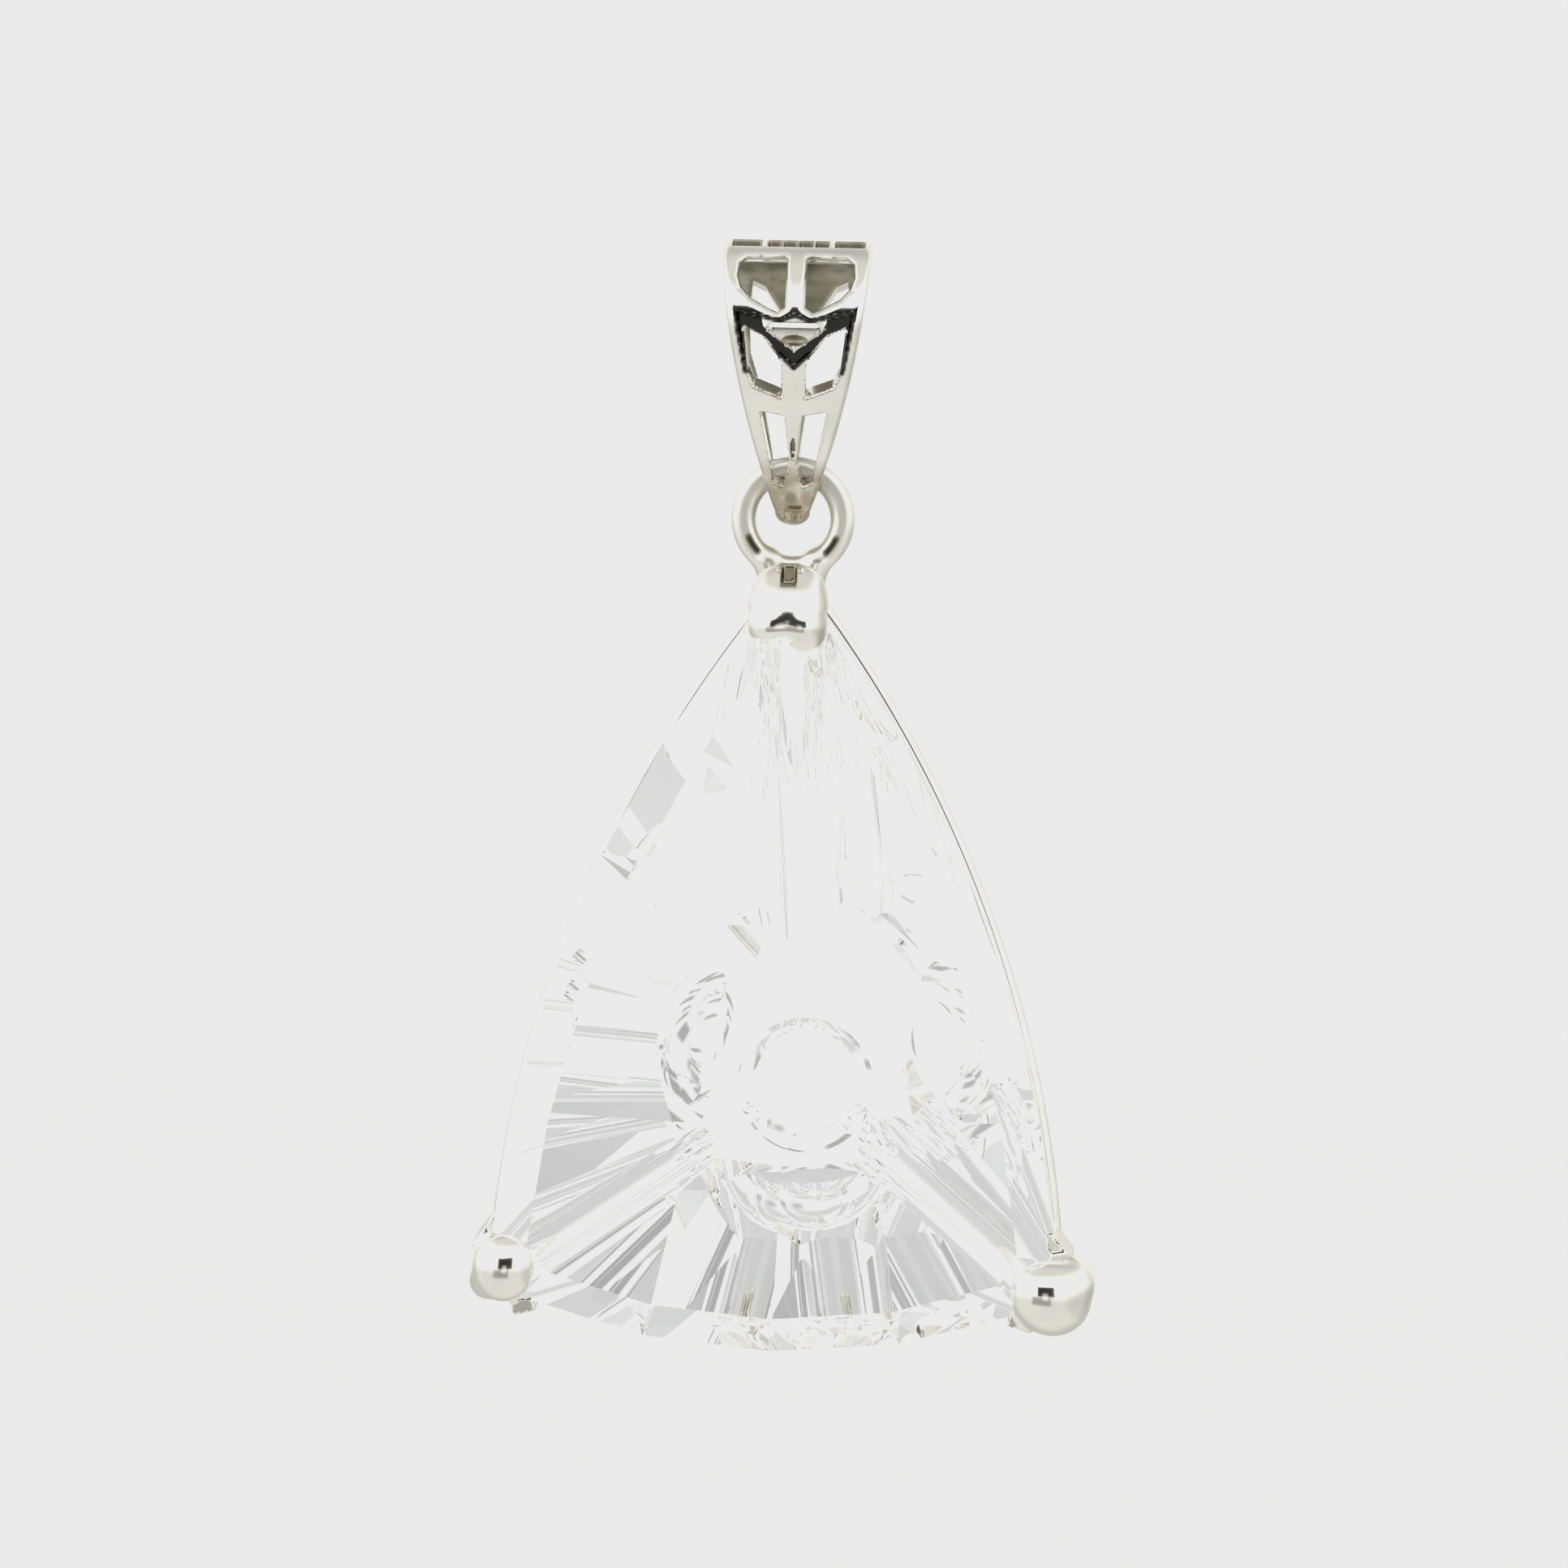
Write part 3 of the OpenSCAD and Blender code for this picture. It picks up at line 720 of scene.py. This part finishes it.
def grown_mesh(source, tree, values):
    """Runs a Geometry Nodes tree on a mesh and keeps the plain result."""
    holder = new_object(source.name + " holder", source)
    modifier = holder.modifiers.new("grow", "NODES")
    modifier.node_group = tree
    for item in tree.interface.items_tree:
        if item.in_out == "INPUT" and item.name in values:
            modifier[item.identifier] = values[item.name]
    shape = holder.evaluated_get(bpy.context.evaluated_depsgraph_get())
    mesh = bpy.data.meshes.new_from_object(shape)
    bpy.data.objects.remove(holder)
    return mesh


stone_mesh = grown_mesh(stone_points, cut, cut_inputs)
names = [m.name for m in stone_mesh.materials]
smooth = [names[p.material_index] == ground_quartz.name for p in stone_mesh.polygons]
stone_mesh.polygons.foreach_set("use_smooth", smooth)
stone_edges = bmesh.new()
stone_edges.from_mesh(stone_mesh)
for edge in stone_edges.edges:
    edge.smooth = len({face.material_index for face in edge.link_faces}) == 1
stone_edges.to_mesh(stone_mesh)
stone_edges.free()
quartz = new_object("quartz", stone_mesh)
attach(quartz, "drop")
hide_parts("quartz_stone")

# The setting is sterling silver wire and grain, soldered and polished. A ring of round wire
# hangs on the bail's saddle, and its lower flanks are soldered to the double top claw, a
# domed block whose two lips are pushed down over the stone's crown.
ring_z = pivot_z - ring_r
top_flat_z = outline[0][1]
seat_gap, wire_d = 0.06, 0.46
rail_y = pavilion_y + 1.85
shank_r, prong_gap = 0.58, 1.06
shank_z = top_flat_z + seat_gap + shank_r
ring_square, join_turn, join_r = 2.6, math.radians(29), 0.42
block_x, block_y, block_z = 0.06, -3.0, -10.4
block_w, block_d, block_h = 1.16, 0.92, 1.36
block_square, block_low_z, block_lean, lean_z = 2.7, -11.25, 0.22, -10.9
lips = (((-0.5, -3.2, -10.9), (-0.5, -3.1, -11.0)), ((0.55, -3.2, -10.9), (0.55, -3.1, -11.17)))
lip_r = 0.62
notch_x, notch_half, notch_y, notch_z = 0.05, 0.22, -2.6, -9.66
planes = stone_planes()


def stone_field(x, y, z, flats):
    """Distance to the stone's cut faces at the given flats of its outline, negative inside."""
    near = planes[:2] + [planes[2 + 3 * (i % len(outline)) + j] for i in flats for j in range(3)]
    return np.maximum.reduce([n[0] * x + n[1] * y + n[2] * z - d for n, d in near])


def capsule(x, y, z, start, end, radius):
    """Distance to a rod with round ends."""
    way = np.subtract(end, start)
    dx, dy, dz = x - start[0], y - start[1], z - start[2]
    t = np.clip((dx * way[0] + dy * way[1] + dz * way[2]) / (way @ way), 0, 1)
    return np.sqrt((dx - t * way[0]) ** 2 + (dy - t * way[1]) ** 2 + (dz - t * way[2]) ** 2) - radius


def top_claw_field(x, y, z):
    """The ring, its joins to the claw, the claw's block with its lips and notch, and its prongs."""
    # The ring's wire is a little flattened at its front and back
    wire_half = ring_wire / 2
    radial = abs(np.hypot(x, z - ring_z) - ring_r) / wire_half
    rounded = radial ** ring_square + (abs(y) / wire_half) ** ring_square + 1e-9
    ring = (rounded ** (1 / ring_square) - 1) * wire_half
    # A domed block with rounded corners, in front of the stone's top flat
    wide, tall = (x - block_x) / block_w, (z - block_z) / block_h
    deep = (y - block_y - block_lean * (z - lean_z)) / block_d
    square = (abs(wide) ** block_square + abs(tall) ** block_square) ** (2 / block_square)
    block = (np.sqrt(square + deep ** 2) - 1) * 0.95
    left_lip, right_lip = (capsule(x, y, z, start, end, lip_r) for start, end in lips)
    block = soft_min(soft_max(block, block_low_z - z, 0.25), soft_min(left_lip, right_lip, 0.12), 0.2)
    notch = soft_max(abs(x - notch_x) - notch_half, notch_z - z, 0.08)
    block = soft_max(block, -soft_max(notch, y - notch_y, 0.1), 0.1)
    for side in (-1, 1):
        flank = (side * ring_r * math.sin(join_turn), 0, ring_z - ring_r * math.cos(join_turn))
        ring = soft_min(ring, capsule(x, y, z, flank, (side * prong_gap / 2, 0, shank_z), join_r), 0.2)
    prongs = np.minimum.reduce([
        capsule(x, y, z, (place, -2.9, shank_z), (place, rail_y, shank_z), shank_r)
        for place in (-prong_gap / 2, prong_gap / 2)
    ])
    body = soft_min(soft_min(block, prongs, 0.25), ring, 0.12)
    return soft_max(body, seat_gap - stone_field(x, y, z, (-2, -1, 0)), 0.05)


setting_silver, setting_tone = silver(
    "bright setting silver", (0.94, 0.93, 0.91), (0.88, 0.87, 0.85), 0.09, 0.15, 1200.0
)
# The ring has not been buffed as bright as the claws
setting_tree = setting_silver.node_tree
setting_shader = setting_tree.nodes["Principled BSDF"]
buffed = setting_shader.inputs["Roughness"].links[0].from_socket
setting_place = put(setting_tree, "ShaderNodeTexCoord").outputs["Object"]
setting_height = along(setting_tree, setting_place, up_in_mm)
duller = calc(setting_tree, "ADD", buffed, ramp(setting_tree, setting_height, -9.3, -8.9, 0.0, 0.24))
setting_tree.links.new(duller, setting_shader.inputs["Roughness"])
# Painted shade: grey-brown where it is thin, black where it is thickest
painted_shade = put(setting_tree, "ShaderNodeAttribute", {"attribute_name": "painted_shade"}).outputs["Fac"]
thin = ramp(setting_tree, painted_shade, 0.0, 0.5)
thick = ramp(setting_tree, painted_shade, 0.5, 1.0)
shaded_tone = setting_tone
for amount, colour in ((thin, (0.38, 0.36, 0.28, 1)), (thick, (0.06, 0.07, 0.05, 1))):
    shaded_tone = put(setting_tree, "ShaderNodeMixRGB", i0=amount, i1=shaded_tone.outputs[0], i2=colour)
setting_tree.links.new(shaded_tone.outputs[0], setting_shader.inputs["Base Color"])


def top_painted_shade(x, y, z):
    """Painted shade in the notch and along the block's right flank, and a painted dark reflection where the
    ring is soldered on.
    """
    in_notch = rise_from(abs(x - notch_x), notch_half + 0.08, notch_half) * (y < -2.2)
    in_notch = in_notch * rise_from(z, notch_z - 0.12, notch_z - 0.02)
    flank = rise_from(x, 0.86, 1.04) * rise_from(z, -9.2, -9.5) * (y < -1.5)
    # The joints lie along the ring's wire, about 34 degrees below the level on each side
    below = np.degrees(np.arctan2(ring_z - z, abs(x)))
    joint = rise_from(abs(np.hypot(x, z - ring_z) - 1.46), 0.14, 0.04) * (y < 0)
    joint = joint * rise_from(abs(below - 34), 17, 9)
    return np.maximum.reduce((0.5 * in_notch, 0.22 * flank, 0.95 * joint))


def setting_piece(name, field, low, high, stain_and_shade=None):
    """Makes one soldered piece from its field, inside the given corners."""
    mesh = skin(name, field, low, high, 0.06)
    # The amounts stored here are painted shade and a painted dark reflection
    if stain_and_shade:
        mark(mesh, "painted_shade", stain_and_shade)
    mesh.materials.append(setting_silver)
    piece = new_object(name, mesh)
    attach(piece, "drop")
    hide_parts("claw_setting")


setting_piece("ring_and_top_claw", top_claw_field, (-2.2, -4.3, -12.1), (2.2, 0.95, -5.6), top_painted_shade)

# The two corner claws are grains with a ball head, each soldered to a shank and to two thin
# walls that lean in along the girdle. The right one was left fuller, with one longer wall.
wall_t, wall_toe = 0.45, math.radians(30)
wall_front, wall_foot = girdle_y - 0.3, 0.3
long_wall, short_wall = 0.9, 0.35


def wall_field(x, y, z, start, toward, side, wall_len):
    """A thin wall from start along the flat beside the claw, long at the girdle and short at
    the gallery wire. side is 1 for the flat after the claw and -1 for the one before it."""
    way = (toward - start) / np.hypot(*(toward - start))
    turn = -side * wall_toe
    way = np.array((
        way[0] * math.cos(turn) - way[1] * math.sin(turn),
        way[0] * math.sin(turn) + way[1] * math.cos(turn)
    ))
    along_way = (x - start[0]) * way[0] + (z - start[1]) * way[1]
    off = side * ((z - start[1]) * way[0] - (x - start[0]) * way[1])
    tall = rail_y - wall_front
    reach = wall_len + (wall_len - wall_foot) * (wall_front - y) / tall
    slab = abs(off - wall_t / 2) - wall_t / 2
    box = soft_max(slab, abs(y - (wall_front + rail_y) / 2) - tall / 2, 0.08)
    return soft_max(box, soft_max(along_way - reach, -0.35 - along_way, 0.05), 0.08)


def corner_claw_field(i, balls, before_len, after_len):
    """The field of the claw that grips the flat from outline point i, with its head's balls."""
    a, b = outline[i], outline[i + 1]
    way = (b - a) / np.hypot(*(b - a))
    out = np.array((-way[1], way[0]))
    foot = (a + b) / 2 + out * (seat_gap + shank_r)
    before, after = outline[i - 1], outline[(i + 2) % len(outline)]

    def field(x, y, z):
        body = capsule(x, y, z, (foot[0], girdle_y, foot[1]), (foot[0], rail_y, foot[1]), shank_r)
        body = soft_min(body, wall_field(x, y, z, a, before, -1, before_len), 0.1)
        body = soft_min(body, wall_field(x, y, z, b, after, 1, after_len), 0.1)
        for (ball_x, ball_y, ball_z), (wide, deep, tall) in balls:
            flat = ((x - ball_x) / wide) ** 2 + ((z - ball_z) / tall) ** 2
            ball = np.sqrt(flat + ((y - ball_y) / deep) ** 2)
            body = soft_min(body, (ball - 1) * min(wide, deep, tall), 0.3)
        return soft_max(body, seat_gap - stone_field(x, y, z, (i - 1, i, i + 1)), 0.05)

    return field


# Each ball's centre, and its half width, depth and height
right_balls = (
    ((8.62, -2.7, -31.3), (1.16, 0.95, 1.12)),
    ((9.1, -2.6, -30.75), (0.76, 0.8, 0.7)),
    ((8.32, -3.15, -31.08), (1.0, 0.7, 1.0))
)
left_balls = (
    ((-8.26, -2.75, -30.88), (0.92, 0.9, 0.98)),
    ((-8.12, -3.15, -30.72), (0.82, 0.46, 0.92))
)
right_claw = corner_claw_field(side_flats, right_balls, long_wall, short_wall)
left_claw = corner_claw_field(side_flats + base_flats + 1, left_balls, short_wall, short_wall)
setting_piece("right_claw", right_claw, (6.4, -4.1, -33.8), (10.2, 0.6, -28.6))
setting_piece("left_claw", left_claw, (-10.0, -4.1, -33.4), (-6.2, 0.6, -28.4))

# The gallery wire is round silver wire bent to the stone's three sides behind its girdle,
# and soldered into the claws' shanks.
rail = bpy.data.node_groups.new("bend gallery wire", "GeometryNodeTree")
rail.interface.new_socket("Geometry", in_out="INPUT", socket_type="NodeSocketGeometry")
rail_size = rail.interface.new_socket("Wire radius", in_out="INPUT", socket_type="NodeSocketFloat")
rail_size.default_value = wire_d / 2
rail.interface.new_socket("Geometry", in_out="OUTPUT", socket_type="NodeSocketGeometry")
rail_in = rail.nodes.new("NodeGroupInput")
rail_out = rail.nodes.new("NodeGroupOutput")
wire_path = put(rail, "GeometryNodeMeshToCurve", i0=rail_in.outputs["Geometry"])
wire_round = put(rail, "GeometryNodeCurvePrimitiveCircle", Resolution=24)
rail.links.new(calc(rail, "MULTIPLY", rail_in.outputs["Wire radius"], MM), wire_round.inputs["Radius"])
wire_tube = put(rail, "GeometryNodeCurveToMesh", Fill_Caps=True)
rail.links.new(wire_path.outputs[0], wire_tube.inputs["Curve"])
rail.links.new(wire_round.outputs[0], wire_tube.inputs["Profile Curve"])
wire_smooth = put(rail, "GeometryNodeSetShadeSmooth", i0=wire_tube.outputs[0])
wire_real = put(rail, "GeometryNodeRealizeInstances", i0=wire_smooth.outputs[0])
wire_metal = put(rail, "GeometryNodeSetMaterial", i0=wire_real.outputs[0], Material=setting_silver)
rail.links.new(wire_metal.outputs[0], rail_out.inputs[0])
wire_steps = 48
wire_spans = ((0.04, 0.98), (0.02, 0.98), (0.02, 0.96))
wire_points, wire_edges = [], []
for (a, b, bulge, *_), (t0, t1) in zip(stone_sides, wire_spans):
    first = len(wire_points)
    for step in range(wire_steps + 1):
        x, z = arc_point(a, b, bulge, t0 + (t1 - t0) * step / wire_steps)
        wire_points.append((x * MM, rail_y * MM, z * MM))
    wire_edges += [(i, i + 1) for i in range(first, len(wire_points) - 1)]
wire_line = bpy.data.meshes.new("gallery line")
wire_line.from_pydata(wire_points, wire_edges, [])
gallery_wire = new_object("gallery_wire", grown_mesh(wire_line, rail, {"Wire radius": wire_d / 2}))
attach(gallery_wire, "drop")
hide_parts("claw_setting")
